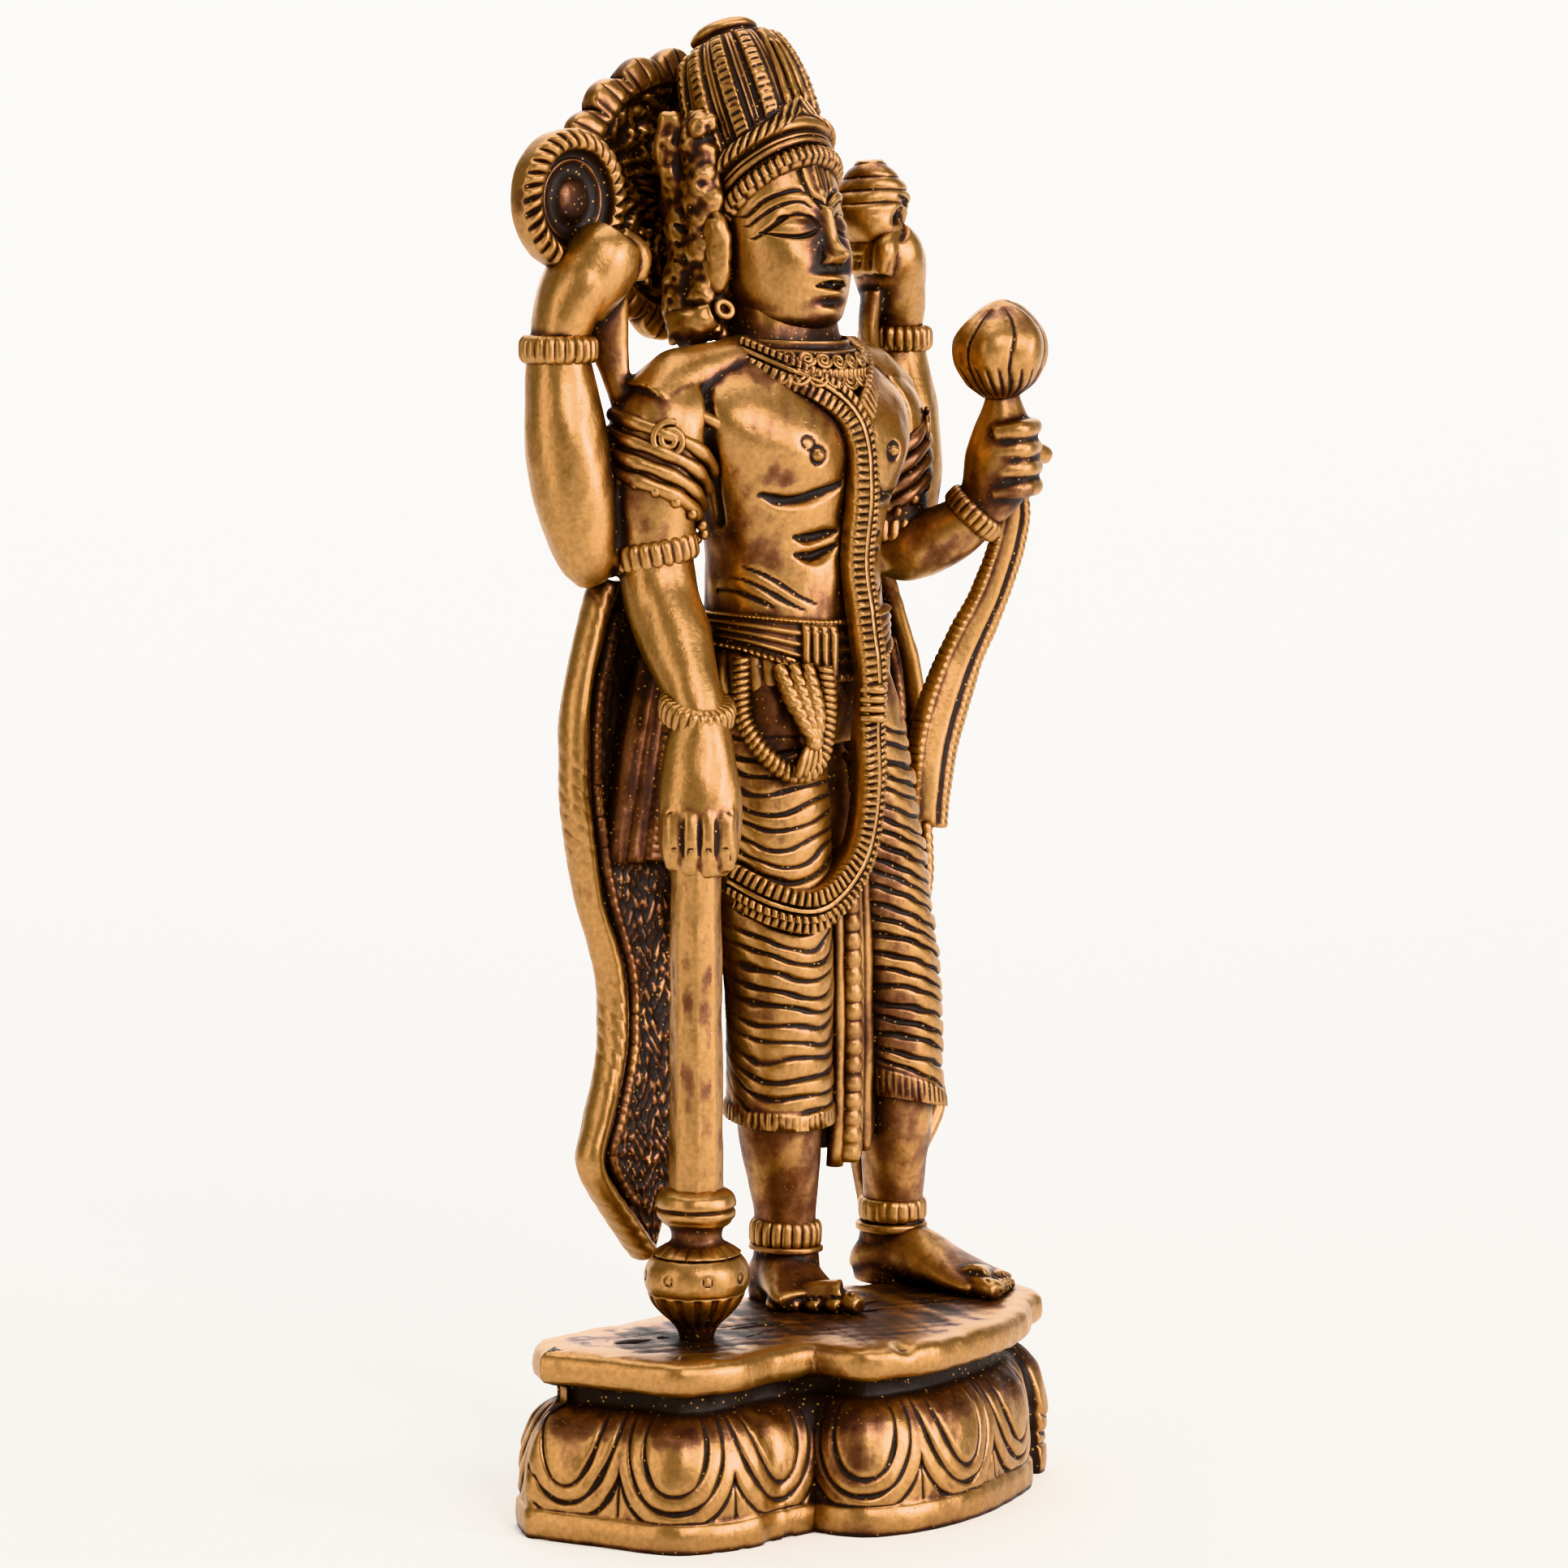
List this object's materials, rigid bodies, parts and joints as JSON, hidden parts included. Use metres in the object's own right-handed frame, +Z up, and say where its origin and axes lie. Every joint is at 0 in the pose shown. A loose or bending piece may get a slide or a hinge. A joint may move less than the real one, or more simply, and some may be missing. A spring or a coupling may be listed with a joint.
{
  "type": "vishnu statue",
  "caption": "Cast brass standing four-armed deity with mace, discus, conch and lotus bud, a knobbed halo and long scarves, on a lobed lotus plinth.",
  "frame": {"origin": "centre of the plinth's flat underside", "axes": "+Z up, the figure faces -Y, its mace stands on the -X side"},
  "size_m": [0.1146, 0.0779, 0.2503],
  "materials": {
    "brass": "hand-polished cast brass with brown patina in the recesses"
  },
  "bodies": {
    "root": {"vishnu_statue": "brass"}
  },
  "joints": []
}
